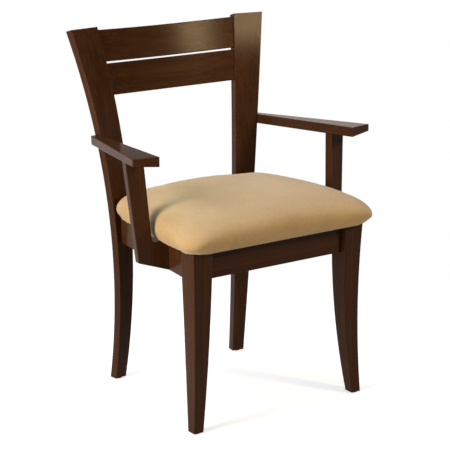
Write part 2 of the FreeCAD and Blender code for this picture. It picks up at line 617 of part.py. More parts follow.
def seat_outline(inset, height):
    """Trapezium with rounded corners at a height, as corner arcs and straight sides in turn."""
    run = SEAT_BACK + SEAT_OVERHANG
    taper = (SEAT_FRONT_WIDTH - SEAT_REAR_WIDTH) / 2 / run
    spread = inset * math.hypot(1, taper)
    front = -SEAT_OVERHANG + inset
    back = SEAT_BACK - inset

    def half(y):
        return SEAT_FRONT_WIDTH / 2 - (y + SEAT_OVERHANG) * taper - spread

    corners = [Vector(half(front), front, height), Vector(half(back), back, height),
               Vector(-half(back), back, height), Vector(-half(front), front, height)]
    arcs = []
    for i, corner in enumerate(corners):
        before = (corners[i - 1] - corner).normalize()
        after = (corners[(i + 1) % 4] - corner).normalize()
        half_angle = math.acos(before.dot(after)) / 2
        tangent = SEAT_CORNER_RADIUS / math.tan(half_angle)
        hub = corner + (before + after).normalize() * (SEAT_CORNER_RADIUS / math.sin(half_angle))
        middle = hub + (corner - hub).normalize() * SEAT_CORNER_RADIUS
        arcs.append((corner + before * tangent, middle, corner + after * tangent))
    edges = []
    for (start, middle, end), (following, _, _) in zip(arcs, arcs[1:] + arcs[:1]):
        edges.append(Part.Arc(start, middle, end).toShape())
        edges.append(Part.makeLine(end, following))
    return edges


def band_face(low, high):
    """Face between an edge of one section and the same edge of the next."""
    if isinstance(low.Curve, Part.Line):
        corners = [low.firstVertex().Point, low.lastVertex().Point,
                   high.lastVertex().Point, high.firstVertex().Point]
        return Part.Face(Part.makePolygon(corners + corners[:1]))
    return Part.makeRuledSurface(low, high)


def cushion(shrink):
    """Crowned cushion with drawn-in sides and a tongue between the posts, shrunk all round."""
    squeeze = (SEAT_HEIGHT - RAIL_TOP - 2 * shrink) / (SEAT_HEIGHT - RAIL_TOP)
    sections = [seat_outline(inset + shrink, RAIL_TOP + shrink + rise * squeeze)
                for rise, inset in SEAT_SECTIONS]
    faces = [Part.Face(Part.Wire(edges)) for edges in (sections[0], sections[-1])]
    for below, above in zip(sections, sections[1:]):
        faces += [band_face(low, high) for low, high in zip(below, above)]
    shell = Part.makeShell(faces)
    shell.sewShape()
    body = Part.makeSolid(shell)
    if body.Volume < 0:
        body.reverse()
    return body.fuse(seat_tongue(shrink))


def seat_tongue(shrink):
    """Rounded end of the cushion that passes between the posts, over the rear rail."""
    bottom = RAIL_TOP + shrink
    top = SEAT_HEIGHT - TONGUE_DROP - shrink
    half = TONGUE_HALF - shrink
    back = TONGUE_BACK - shrink
    roll = TONGUE_ROUNDING - shrink
    turn = roll * (1 - math.sqrt(0.5))
    nose = back - roll
    line = Part.makePolygon([Vector(-half, nose, top), Vector(-half, TONGUE_START, top),
                             Vector(-half, TONGUE_START, bottom), Vector(-half, nose, bottom)])
    lower = Part.Arc(Vector(-half, nose, bottom), Vector(-half, back - turn, bottom + turn),
                     Vector(-half, back, bottom + roll)).toShape()
    wall = Part.makeLine(Vector(-half, back, bottom + roll), Vector(-half, back, top - roll))
    upper = Part.Arc(Vector(-half, back, top - roll), Vector(-half, back - turn, top - turn),
                     Vector(-half, nose, top)).toShape()
    outline = Part.Wire(Part.__sortEdges__(line.Edges + [lower, wall, upper]))
    return Part.Face(outline).extrude(ACROSS * (2 * half))


def panel_outline(inset, low, thickness):
    """Flat sheet cut to the cushion's lower outline, less an inset, with the rear tongue."""
    outline = Part.Wire(seat_outline(SEAT_DRAW_IN + inset, low))
    sheet = Part.Face(outline).extrude(UP * thickness)
    half = TONGUE_HALF - inset
    depth = TONGUE_BACK - TONGUE_ROUNDING - inset - TONGUE_START
    tongue = Part.makeBox(2 * half, depth, thickness, Vector(-half, TONGUE_START, low))
    return sheet.fuse(tongue).removeSplitter()


def seat(holes):
    """Panel, foam, cover and dust cover, with the holes for the seat screws."""
    low = RAIL_TOP + COVER_THICKNESS
    sheet = panel_outline(PANEL_INSET, low, PANEL_THICKNESS)
    inner = cushion(COVER_THICKNESS)
    opening = panel_outline(COVER_TURN_UNDER, RAIL_TOP - COVER_THICKNESS, 2 * COVER_THICKNESS)
    dust_cover = panel_outline(COVER_TURN_UNDER + DUST_COVER_GAP, low - DUST_COVER_THICKNESS,
                               DUST_COVER_THICKNESS)
    return {"seat_panel": sheet.cut(holes), "seat_foam": inner.cut(sheet),
            "seat_cover": cushion(0.0).cut([inner, opening] + holes),
            "seat_dust_cover": dust_cover.cut(holes)}


# Feet
def foot_glide(x, y):
    """Round glide with its pin, and the hole for the pin."""
    disc = rod(Vector(x, y, 0), UP, GLIDE_DIAMETER, GLIDE_THICKNESS)
    top = Vector(x, y, GLIDE_THICKNESS)
    pin = rod(top, UP, GLIDE_PIN_DIAMETER, GLIDE_PIN_LENGTH)
    hole = rod(top - UP * HOLE_END_GAP, UP, GLIDE_PIN_DIAMETER + 2 * HOLE_CLEARANCE,
               GLIDE_PIN_LENGTH + 2 * HOLE_END_GAP)
    return disc.fuse(pin).removeSplitter(), hole


def drilled(solid, holes):
    """Solid with every hole that reaches it."""
    for hole in holes:
        if solid.BoundBox.intersect(hole.BoundBox):
            solid = solid.cut(hole)
    return solid


def build():
    """Every node of the chair by name."""
    front_foot = Vector((FRONT_OUTER.at(0) + FRONT_INNER.at(0)) / 2, FRONT_FOOT_SIZE / 2, 0)
    rear_foot = POST_PLACE.multVec(Vector(
        -REAR_FOOT_WIDTH / 2, POST_FRONT.at(0) + REAR_LEG_THICKNESS / 2, 0))
    glides = [foot_glide(foot.x, foot.y) for foot in (front_foot, rear_foot)]
    wood_dowels = rail_dowels()
    small_dowels = arm_dowels()
    support_screws = arm_support_screws()
    front_block, rear_block = corner_blocks()
    block_screws = front_block.screws + rear_block.screws
    seat_screws = [front_block.seat_screw, rear_block.seat_screw]

    fixings = wood_dowels + small_dowels + support_screws + block_screws + seat_screws
    right_holes = [fixing.hole for fixing in fixings] + [hole for _, hole in glides]
    holes = both_sides(right_holes)
    mortises = [slat.tenons(TENON_CLEARANCE) for slat in (CREST, LOWER_SLAT)]

    nodes = {}
    pairs = {"front_leg": front_leg(), "rear_leg": drilled(rear_leg(), mortises),
             "side_seat_rail": side_rail(), "arm": arm(), "arm_support": arm_support(),
             "corner_block_front": front_block.solid, "corner_block_rear": rear_block.solid}
    for name, solid in pairs.items():
        solid = drilled(solid, right_holes)
        nodes[name + "_right"] = solid
        nodes[name + "_left"] = mirrored(solid)
    nodes["front_seat_rail"] = drilled(front_rail(), holes)
    nodes["rear_seat_rail"] = drilled(rear_rail(), holes)
    nodes["crest_rail"] = CREST.solid()
    nodes["lower_back_slat"] = LOWER_SLAT.solid()

    nodes.update(seat(both_sides([screw.hole for screw in seat_screws])))

    groups = {"rail_dowels": wood_dowels, "arm_dowels": small_dowels,
              "arm_support_screws": support_screws, "corner_block_screws": block_screws,
              "seat_screws": seat_screws}
    for name, fixings in groups.items():
        nodes[name] = Part.makeCompound(both_sides([fixing.solid for fixing in fixings]))
    nodes["foot_glides"] = Part.makeCompound(both_sides([glide for glide, _ in glides]))
    return nodes


def main():
    os.makedirs("parts", exist_ok=True)
    nodes = build()
    points, _ = Part.makeCompound(list(nodes.values())).tessellate(FIT_GAP)
    box = FreeCAD.BoundBox()
    for point in points:
        box.add(point)
    shift = Vector(-box.Center.x, -box.Center.y, -box.ZMin)
    for name, shape in nodes.items():
        shape.translate(shift)
        shape.exportStep(f"parts/{name}.step")
        solids = shape.Solids
        print(f"{name}: {len(solids)} solids, {shape.Volume / 1000:.1f} cm3, valid {shape.isValid()}")
    print(f"box {box.XLength:.1f} x {box.YLength:.1f} x {box.ZLength:.1f}, moved {shift.y:.2f} in Y")


main()
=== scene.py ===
"""Looks of a dining armchair: stained wood, a stuffed seat, and a pale studio.

Metres, +Z up, the chair faces -Y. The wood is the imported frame's own. The seat cushion is swelled
here from the frame's foam and panel by a cloth simulation.
"""
import math

import bmesh
import bpy
from bpy.props import FloatProperty, FloatVectorProperty, IntProperty, PointerProperty
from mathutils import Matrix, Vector


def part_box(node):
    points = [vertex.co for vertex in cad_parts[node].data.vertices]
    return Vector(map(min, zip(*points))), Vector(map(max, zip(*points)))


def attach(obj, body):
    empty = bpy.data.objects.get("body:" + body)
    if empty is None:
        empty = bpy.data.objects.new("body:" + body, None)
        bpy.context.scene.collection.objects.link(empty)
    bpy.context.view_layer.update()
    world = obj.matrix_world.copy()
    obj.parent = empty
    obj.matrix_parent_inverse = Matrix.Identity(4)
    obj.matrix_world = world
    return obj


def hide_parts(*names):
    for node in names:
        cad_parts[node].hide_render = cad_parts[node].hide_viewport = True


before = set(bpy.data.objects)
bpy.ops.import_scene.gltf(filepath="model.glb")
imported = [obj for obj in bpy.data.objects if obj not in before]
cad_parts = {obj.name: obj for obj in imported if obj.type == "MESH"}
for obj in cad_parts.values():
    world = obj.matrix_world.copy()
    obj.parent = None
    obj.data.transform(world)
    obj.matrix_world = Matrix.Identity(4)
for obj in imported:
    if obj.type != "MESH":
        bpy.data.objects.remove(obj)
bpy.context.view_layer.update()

bl_info = {
    "name": "Dining armchair",
    "version": (1, 0, 0),
    "blender": (4, 5, 0),
    "location": "3D View > Sidebar > Armchair",
    "description": "Finishes, seat cushion and studio of an upholstered dining armchair",
    "category": "Object",
}

MM = 0.001

# Show wood by the way its grain runs
UPRIGHT = ("front_leg_left", "front_leg_right", "rear_leg_left", "rear_leg_right",
           "arm_support_left", "arm_support_right")
CROSSWISE = ("crest_rail", "lower_back_slat", "front_seat_rail", "rear_seat_rail")
LENGTHWISE = ("arm_left", "arm_right", "side_seat_rail_left", "side_seat_rail_right")
RAW_WOOD = ("corner_block_front_left", "corner_block_front_right", "corner_block_rear_left",
            "corner_block_rear_right", "rail_dowels", "arm_dowels", "seat_panel")
STEEL = ("arm_support_screws", "corner_block_screws", "seat_screws")

# Camera in front of the chair, to the left and above the seat
CAMERA_PLACE = (-2.2311, -3.1569, 1.4330)
CAMERA_TILT = math.radians(75.05)
CAMERA_TURN = math.radians(-35.393)
LENS_MM = 134.63
SENSOR_MM = 36.0

# Where the lamps point: at the middle of the chair, and at the right end of the crest rail
CHAIR = Vector((0.0, 0.0, 0.5))
CREST = Vector((0.18, 0.22, 0.82))
ROOM_LIGHT = 0.06

# Floor: near the chair the paper shows light and shadow, and farther away it is plain white
NEAR = 0.45             # metres from the middle of the chair
FAR = 1.1
NEAR_GLOW = 0.65
NEAR_GLOW_COLOUR = (0.93, 0.96, 1.0, 1.0)   # cool, because the lamps on the paper are warm
PAPER_LIT = 0.77        # brightness of the paper near the chair, as it is seen
PAPER_BOUNCE = 0.42     # the same for the light that it throws back on the chair

# Plan of the cushion
SEAT_HALF = 265 * MM            # half width at its front
SEAT_TAPER = 0.148              # narrowing on each side, per metre of depth
SWELL_FADE = (60 * MM, 5 * MM)  # distances in front of the posts where the swelling fades
POST_SWELL = 1.2 * MM           # swelling that is left beside the posts
FILL_FADE = (30 * MM, 70 * MM)  # distances in front of the posts where the filling sets in
TUCK_FADE = (90 * MM, 150 * MM)  # distances in front of the middle where the tuck sets in
SIDE_SLANT = (0.1, 0.3)         # level part of a normal, from underside to side
REST_LAYER = 2 * MM             # points this near to the panel's underside lie flat
DUST_GAP = 0.8 * MM             # from the panel's underside up to the cushion's
POST_GAP = 1 * MM               # from the posts' front to where the tongue between them begins
WELD = 0.01 * MM                # points of the foam and the panel nearer than this are merged
SWELL_FRAMES = 20


def unit(value):
    """Value held between 0 and 1."""
    return max(0.0, min(1.0, value))


def fade(value, start, end):
    """0 up to the start, 1 from the end on."""
    return unit((value - start) / (end - start))


def linear(code):
    """Linear RGBA of an sRGB hex colour."""
    values = [int(code[i:i + 2], 16) / 255 for i in (1, 3, 5)]
    parts = [v / 12.92 if v <= 0.04045 else ((v + 0.055) / 1.055) ** 2.4 for v in values]
    return (*parts, 1.0)


def add(tree, kind, inputs=None, **settings):
    """New node with its settings, its values and its links."""
    node = tree.nodes.new(kind)
    for name, value in settings.items():
        setattr(node, name, value)
    for name, value in (inputs or {}).items():
        if isinstance(value, bpy.types.NodeSocket):
            tree.links.new(value, node.inputs[name])
        else:
            node.inputs[name].default_value = value
    return node


def ramp(tree, factor, *stops):
    """Colour ramp through (position, colour) stops."""
    node = add(tree, "ShaderNodeValToRGB", {"Fac": factor})
    elements = node.color_ramp.elements
    while len(elements) < len(stops):
        elements.new(1.0)
    for element, (position, colour) in zip(elements, stops):
        element.position = position
        element.color = colour
    return node.outputs["Color"]


def grey(value):
    """Linear RGBA of a grey."""
    return (value, value, value, 1.0)


def new_material(name):
    """Empty material, its node tree and its main shader."""
    material = bpy.data.materials.new(name)
    material.use_nodes = True
    tree = material.node_tree
    tree.nodes.clear()
    shader = add(tree, "ShaderNodeBsdfPrincipled")
    add(tree, "ShaderNodeOutputMaterial", {"Surface": shader.outputs["BSDF"]})
    return material, tree, shader


def seen_rays(tree, path):
    """1 for the rays that show a background: seen, mirrored, or through glass."""
    mirrored = add(tree, "ShaderNodeMath", {
        0: path.outputs["Is Glossy Ray"], 1: path.outputs["Is Transmission Ray"]},
        operation="MAXIMUM")
    return add(tree, "ShaderNodeMath", {
        0: path.outputs["Is Camera Ray"], 1: mirrored.outputs["Value"]},
        operation="MAXIMUM").outputs["Value"]


def finish_node(name, material):
    """Gives a node of the frame a material."""
    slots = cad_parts[name].material_slots
    if not slots:
        raise RuntimeError(name + " has no material slot")
    for slot in slots:
        slot.material = material


def stained_wood(name, along, look):
    """Beech, stained espresso and lacquered satin.

    The eye gets fine dark pores and soft streaks along the board, a broad satin gloss, and edges
    where the stain is rubbed a little thinner.
    """
    material, tree, shader = new_material(name)
    place = add(tree, "ShaderNodeTexCoord").outputs["Object"]
    stretch = [1.0, 1.0, 1.0]
    stretch[along] = look.grain_width / look.streak_length
    board = add(tree, "ShaderNodeMapping", {"Vector": place, "Scale": stretch}).outputs["Vector"]
    streaks = add(tree, "ShaderNodeTexNoise", {
        "Vector": board, "Scale": 1 / look.grain_width, "Detail": 4.0, "Roughness": 0.6,
        "Distortion": 0.4}).outputs["Fac"]
    tone = add(tree, "ShaderNodeTexNoise", {
        "Vector": board, "Scale": 1 / look.tone_width, "Detail": 2.0}).outputs["Fac"]
    pores = add(tree, "ShaderNodeTexNoise", {
        "Vector": board, "Scale": 1 / look.pore_width, "Detail": 1.0}).outputs["Fac"]
    mixed = add(tree, "ShaderNodeMath", {0: streaks, 1: tone}, operation="ADD").outputs["Value"]
    half = add(tree, "ShaderNodeMath", {0: mixed, 1: 0.5}, operation="MULTIPLY").outputs["Value"]
    stain = ramp(tree, half, (0.31, look.stain_dark), (0.5, look.stain),
                 (0.69, look.stain_light))
    pore_mask = ramp(tree, pores, (0.30, grey(0.5)), (0.42, grey(0.0)))
    pored = add(tree, "ShaderNodeMix", {
        "Factor": pore_mask, "A": stain, "B": linear("#2E190E")}, data_type="RGBA")
    soft = add(tree, "ShaderNodeBevel", {"Radius": look.edge_rounding}, samples=6)
    flat = add(tree, "ShaderNodeNewGeometry")
    agree = add(tree, "ShaderNodeVectorMath", {
        0: soft.outputs["Normal"], 1: flat.outputs["Normal"]}, operation="DOT_PRODUCT")
    worn = ramp(tree, agree.outputs["Value"], (0.86, grey(0.75)), (0.99, grey(0.0)))
    rubbed = add(tree, "ShaderNodeMix", {
        "Factor": worn, "A": pored.outputs["Result"], "B": linear("#61402B")}, data_type="RGBA")
    gloss = ramp(tree, streaks, (0.3, grey(look.wood_roughness - 0.03)),
                 (0.7, grey(look.wood_roughness + 0.04)))
    bump = add(tree, "ShaderNodeBump", {
        "Height": pores, "Strength": 0.06, "Distance": 0.4 * MM, "Normal": soft.outputs["Normal"]})
    tree.links.new(rubbed.outputs["Result"], shader.inputs["Base Color"])
    tree.links.new(gloss, shader.inputs["Roughness"])
    tree.links.new(bump.outputs["Normal"], shader.inputs["Normal"])
    shader.inputs["IOR"].default_value = 1.5
    shader.inputs["Specular IOR Level"].default_value = 0.05
    return material


def raw_wood():
    """Beech as it comes from the plane: pale, dry and matt, with short brown flecks."""
    fleck_width = 2.5 * MM
    material, tree, shader = new_material("raw_beech")
    place = add(tree, "ShaderNodeTexCoord").outputs["Object"]
    board = add(tree, "ShaderNodeMapping", {"Vector": place, "Scale": (0.15, 1.0, 1.0)})
    grain = add(tree, "ShaderNodeTexNoise", {
        "Vector": board.outputs["Vector"], "Scale": 1 / fleck_width, "Detail": 5.0}).outputs["Fac"]
    colour = ramp(tree, grain, (0.3, linear("#A97F55")), (0.55, linear("#C9A277")),
                  (0.75, linear("#D8B78E")))
    bump = add(tree, "ShaderNodeBump", {"Height": grain, "Strength": 0.1, "Distance": 0.3 * MM})
    tree.links.new(colour, shader.inputs["Base Color"])
    tree.links.new(bump.outputs["Normal"], shader.inputs["Normal"])
    shader.inputs["Roughness"].default_value = 0.65
    return material


def zinc_steel():
    """Zinc-plated steel: cool grey metal with a mottled passivated film."""
    mottle_size = 2.0 * MM
    material, tree, shader = new_material("zinc_plated_steel")
    place = add(tree, "ShaderNodeTexCoord").outputs["Object"]
    film = add(tree, "ShaderNodeTexNoise", {
        "Vector": place, "Scale": 1 / mottle_size, "Detail": 3.0}).outputs["Fac"]
    tree.links.new(ramp(tree, film, (0.35, linear("#8E8F8C")), (0.65, linear("#B5B6B4"))),
                   shader.inputs["Base Color"])
    tree.links.new(ramp(tree, film, (0.3, grey(0.25)), (0.7, grey(0.42))),
                   shader.inputs["Roughness"])
    shader.inputs["Metallic"].default_value = 1.0
    return material


def glide_plastic():
    """Moulded black polyethylene with a fine spark-eroded grain."""
    grain_size = 0.8 * MM
    material, tree, shader = new_material("black_polyethylene")
    place = add(tree, "ShaderNodeTexCoord").outputs["Object"]
    grain = add(tree, "ShaderNodeTexNoise", {
        "Vector": place, "Scale": 1 / grain_size}).outputs["Fac"]
    bump = add(tree, "ShaderNodeBump", {"Height": grain, "Strength": 0.15, "Distance": 0.2 * MM})
    tree.links.new(ramp(tree, grain, (0.3, linear("#171615")), (0.7, linear("#211F1E"))),
                   shader.inputs["Base Color"])
    tree.links.new(bump.outputs["Normal"], shader.inputs["Normal"])
    shader.inputs["Roughness"].default_value = 0.5
    return material


def dust_cloth():
    """Black spun-bonded polypropylene: matt felted sheet with a pressed dot pattern."""
    dot_pitch = 2.2 * MM
    fibre_size = 1.5 * MM
    material, tree, shader = new_material("black_spunbond")
    place = add(tree, "ShaderNodeTexCoord").outputs["Object"]
    dots = add(tree, "ShaderNodeTexVoronoi", {
        "Vector": place, "Scale": 1 / dot_pitch, "Randomness": 0.25}).outputs["Distance"]
    fibres = add(tree, "ShaderNodeTexNoise", {
        "Vector": place, "Scale": 1 / fibre_size, "Detail": 4.0}).outputs["Fac"]
    bump = add(tree, "ShaderNodeBump", {"Height": dots, "Strength": 0.35, "Distance": 0.3 * MM})
    tree.links.new(ramp(tree, fibres, (0.3, linear("#151413")), (0.7, linear("#26241F"))),
                   shader.inputs["Base Color"])
    tree.links.new(bump.outputs["Normal"], shader.inputs["Normal"])
    shader.inputs["Roughness"].default_value = 0.9
    return material


def woven_cloth(look):
    """Tan upholstery cloth, a close plain weave with a soft brushed face.

    The threads are finer than the picture can show, so they are drawn about twice as coarse. The
    eye gets an even matt tan, faint slubs, and a pale bloom where the surface turns away.
    """
    patch_size = 90 * MM
    material, tree, shader = new_material("tan_woven_cloth")
    place = add(tree, "ShaderNodeTexCoord").outputs["Object"]
    axes = add(tree, "ShaderNodeSeparateXYZ", {"Vector": place})
    across = add(tree, "ShaderNodeMath", {0: axes.outputs["X"]}, operation="ABSOLUTE")
    weft = add(tree, "ShaderNodeMath", {0: across.outputs["Value"], 1: axes.outputs["Z"]},
               operation="SUBTRACT")
    warp = add(tree, "ShaderNodeMath", {0: axes.outputs["Y"], 1: axes.outputs["Z"]},
               operation="ADD")
    threads = []
    for run in (weft, warp):
        turns = add(tree, "ShaderNodeMath", {
            0: run.outputs["Value"], 1: 2 * math.pi / look.thread_spacing}, operation="MULTIPLY")
        threads.append(add(tree, "ShaderNodeMath", {0: turns.outputs["Value"]}, operation="SINE"))
    weave = add(tree, "ShaderNodeMath", {
        0: threads[0].outputs["Value"], 1: threads[1].outputs["Value"]}, operation="MULTIPLY")
    slubs = add(tree, "ShaderNodeTexNoise", {
        "Vector": place, "Scale": 1 / look.slub_length, "Detail": 6.0,
        "Roughness": 0.65}).outputs["Fac"]
    patches = add(tree, "ShaderNodeTexNoise", {
        "Vector": place, "Scale": 1 / patch_size, "Detail": 2.0}).outputs["Fac"]
    mixed = add(tree, "ShaderNodeMath", {0: slubs, 1: patches}, operation="ADD").outputs["Value"]
    half = add(tree, "ShaderNodeMath", {0: mixed, 1: 0.5}, operation="MULTIPLY").outputs["Value"]
    tan = ramp(tree, half, (0.34, look.cloth_dark), (0.5, look.cloth),
               (0.66, look.cloth_light))
    gap = ramp(tree, weave.outputs["Value"], (0.0, grey(0.10)), (0.6, grey(0.0)))
    cloth = add(tree, "ShaderNodeMix", {
        "Factor": gap, "A": tan, "B": linear("#937449")}, data_type="RGBA")
    low = add(tree, "ShaderNodeMath", {0: weave.outputs["Value"], 1: slubs}, operation="ADD")
    bump = add(tree, "ShaderNodeBump", {
        "Height": low.outputs["Value"], "Strength": 0.22, "Distance": 0.4 * MM})
    tree.links.new(cloth.outputs["Result"], shader.inputs["Base Color"])
    tree.links.new(bump.outputs["Normal"], shader.inputs["Normal"])
    shader.inputs["Roughness"].default_value = 0.82
    shader.inputs["IOR"].default_value = 1.45
    shader.inputs["Sheen Weight"].default_value = 0.5
    shader.inputs["Sheen Roughness"].default_value = 0.45
    shader.inputs["Sheen Tint"].default_value = linear("#FFF6E8")
    return material


def evaluated_mesh(obj):
    """Mesh of an object with its modifiers applied."""
    graph = bpy.context.evaluated_depsgraph_get()
    return bpy.data.meshes.new_from_object(obj.evaluated_get(graph))


def joined_copy(name, nodes):
    """New object with merged copies of some of the frame's meshes."""
    mesh = bpy.data.meshes.new(name)
    form = bmesh.new()
    for node in nodes:
        form.from_mesh(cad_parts[node].data)
    bmesh.ops.remove_doubles(form, verts=form.verts, dist=WELD)
    form.to_mesh(mesh)
    form.free()
    copy = bpy.data.objects.new(name, mesh)
    bpy.context.scene.collection.objects.link(copy)
    return copy


def swell(obj, look, held):
    """Blows the cushion up like a stuffed cover, with its held points fixed."""
    group = obj.vertex_groups.new(name="held")
    group.add([v.index for v in obj.data.vertices if held(v.co)], 1.0, "REPLACE")
    cloth = obj.modifiers.new("Swell", "CLOTH")
    cloth.settings.quality = 4
    cloth.settings.use_pressure = True
    cloth.settings.uniform_pressure_force = look.stuffing
    cloth.settings.vertex_group_mass = group.name
    cloth.settings.effector_weights.gravity = 0.0
    scene = bpy.context.scene
    for step in range(1, SWELL_FRAMES + 1):
        scene.frame_set(step)
    swelled = evaluated_mesh(obj)
    points = [v.co.copy() for v in swelled.vertices]
    obj.modifiers.remove(cloth)
    scene.frame_set(1)
    bpy.data.meshes.remove(swelled)
    return points


class ArmchairLook(bpy.types.PropertyGroup):
    """Colours and sizes of the finishes and of the cushion that a user would change."""

    stain_dark: FloatVectorProperty(
        name="Dark stain", description="Colour of the darkest streaks in the stained wood",
        default=linear("#382112"), size=4, subtype="COLOR")
    stain: FloatVectorProperty(
        name="Stain", description="Main colour of the stained wood",
        default=linear("#442917"), size=4, subtype="COLOR")
    stain_light: FloatVectorProperty(
        name="Light stain", description="Colour of the lightest streaks in the stained wood",
        default=linear("#4F311C"), size=4, subtype="COLOR")
    cloth_dark: FloatVectorProperty(
        name="Dark cloth", description="Colour of the darkest places in the seat cloth",
        default=linear("#BB9A6C"), size=4, subtype="COLOR")
    cloth: FloatVectorProperty(
        name="Cloth", description="Main colour of the seat cloth",
        default=linear("#C4A476"), size=4, subtype="COLOR")
    cloth_light: FloatVectorProperty(
        name="Light cloth", description="Colour of the lightest places in the seat cloth",
        default=linear("#CDAE81"), size=4, subtype="COLOR")
    grain_width: FloatProperty(
        name="Grain width", description="Width of a streak in the stained wood",
        default=5 * MM, unit="LENGTH")
    streak_length: FloatProperty(
        name="Streak length", description="Length of a streak along the board",
        default=320 * MM, unit="LENGTH")
    tone_width: FloatProperty(
        name="Tone width", description="Width of the broad changes of tone in the wood",
        default=28 * MM, unit="LENGTH")
    pore_width: FloatProperty(
        name="Pore width", description="Width of the pores, drawn coarser than real ones",
        default=1.6 * MM, unit="LENGTH")
    edge_rounding: FloatProperty(
        name="Edge rounding", description="Radius that the lacquer gives to the edges",
        default=1.8 * MM, unit="LENGTH")
    wood_roughness: FloatProperty(
        name="Wood roughness", description="Roughness of the satin lacquer",
        default=0.18, subtype="FACTOR")
    thread_spacing: FloatProperty(
        name="Thread spacing", description="Distance between threads of the seat cloth",
        default=1.6 * MM, unit="LENGTH")
    slub_length: FloatProperty(
        name="Slub length", description="Length of the thicker places in a thread",
        default=6 * MM, unit="LENGTH")
    voxel: FloatProperty(
        name="Voxel", description="Grid of the cushion's cloth",
        default=6 * MM, unit="LENGTH")
    stuffing: FloatProperty(
        name="Stuffing", description="Pressure inside the cushion's cover", default=4.0)
    swelling: FloatProperty(
        name="Swelling", description="Most that a point of the cushion may move",
        default=12 * MM, unit="LENGTH")
    swelling_share: FloatProperty(
        name="Swelling share", description="Share of the simulated swelling that is used",
        default=0.12, subtype="FACTOR")
    crown: FloatProperty(
        name="Crown", description="Top of the cushion above the rails",
        default=83 * MM, unit="LENGTH")
    side_fill: FloatProperty(
        name="Side fill", description="How far the cushion's sides are filled out",
        default=8 * MM, unit="LENGTH")
    flank_fill: FloatProperty(
        name="Flank fill", description="How much further its left and right sides are filled out",
        default=4 * MM, unit="LENGTH")
    edge_fill: FloatProperty(
        name="Edge fill", description="How much further its lower edge is filled out",
        default=6 * MM, unit="LENGTH")
    full_rise: FloatProperty(
        name="Full rise", description="Fullest line of the cushion above the rails",
        default=13 * MM, unit="LENGTH")
    smoothing: IntProperty(
        name="Smoothing", description="Rounds of smoothing of the cushion", default=6)
    corner_drop: FloatProperty(
        name="Corner drop", description="How far the cushion's corners lie below its middle",
        default=18 * MM, unit="LENGTH")
    front_drop: FloatProperty(
        name="Front drop", description="How much further its front corners are drawn down",
        default=13 * MM, unit="LENGTH")
    shoulder_fill: FloatProperty(
        name="Shoulder fill", description="How far its flanks are raised, half way along them",
        default=9 * MM, unit="LENGTH")
    corner_tuck: FloatProperty(
        name="Corner tuck", description="How far its lower edge is drawn in by the front corners",
        default=11 * MM, unit="LENGTH")
    corner_fill: FloatProperty(
        name="Corner fill", description="How far the lower front corners are filled out",
        default=6 * MM, unit="LENGTH")
    rear_lift: FloatProperty(
        name="Rear lift", description="How much higher the cushion is left towards its rear",
        default=3 * MM, unit="LENGTH")
    floor_size: FloatProperty(
        name="Floor size", description="Side of the studio floor", default=40.0, unit="LENGTH")
    backdrop_height: FloatProperty(
        name="Backdrop height", description="Height of the backdrop around the floor",
        default=3.0, unit="LENGTH")


